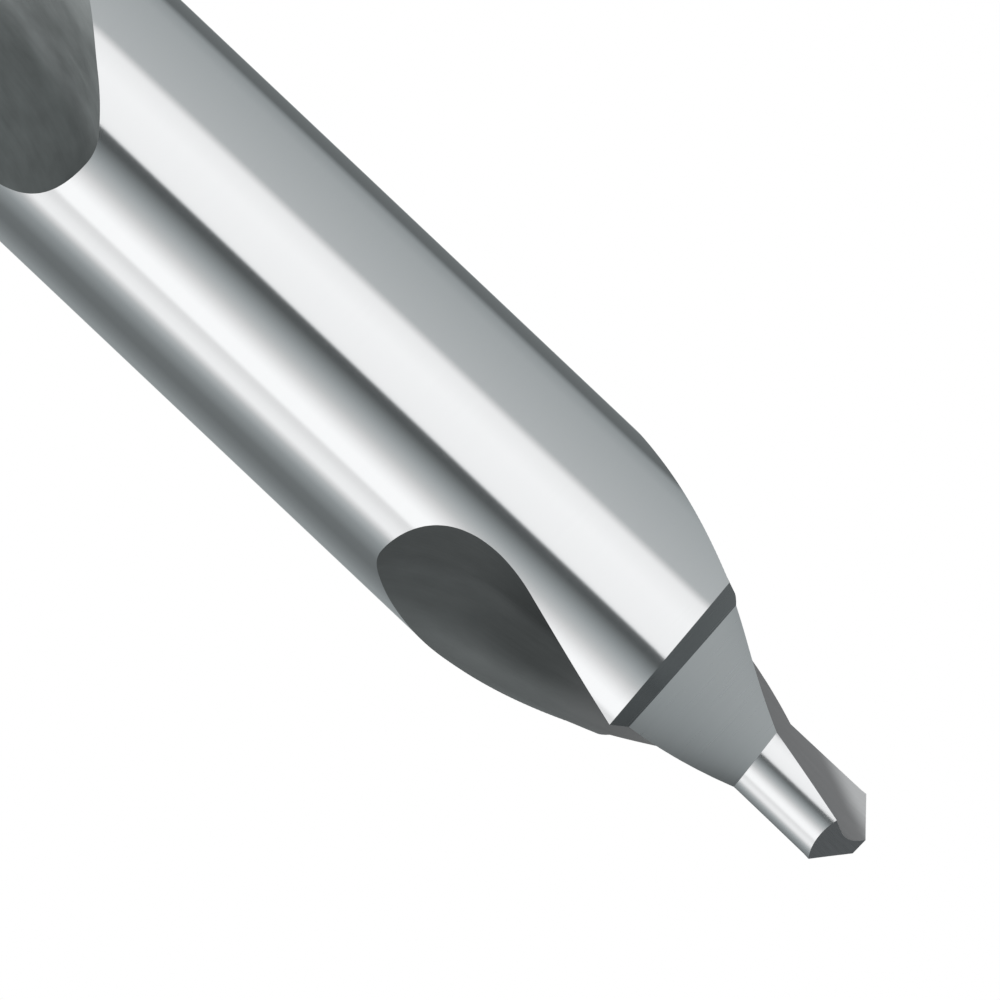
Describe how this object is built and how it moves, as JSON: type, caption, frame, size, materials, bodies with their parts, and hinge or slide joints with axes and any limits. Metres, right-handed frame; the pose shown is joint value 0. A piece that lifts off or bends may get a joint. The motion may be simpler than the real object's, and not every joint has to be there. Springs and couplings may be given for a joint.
{
  "type": "centre drill",
  "caption": "Double-ended bell-type centre drill: plain round shank, and at each end helical flutes, a protecting bell, a countersink and a short pilot drill with a chisel point.",
  "frame": {"origin": "centre of the tool, on its axis and halfway between the two chisel edges", "axes": "Z along the tool's axis, with the pictured working end at -Z; the tool is right-hand cutting at both ends"},
  "size_m": [0.0158, 0.0158, 0.0832],
  "materials": {
    "steel": "bright high-speed steel, polished shank, ground flutes, countersink and bell"
  },
  "bodies": {
    "root": {"centre_drill": "steel"}
  },
  "joints": []
}
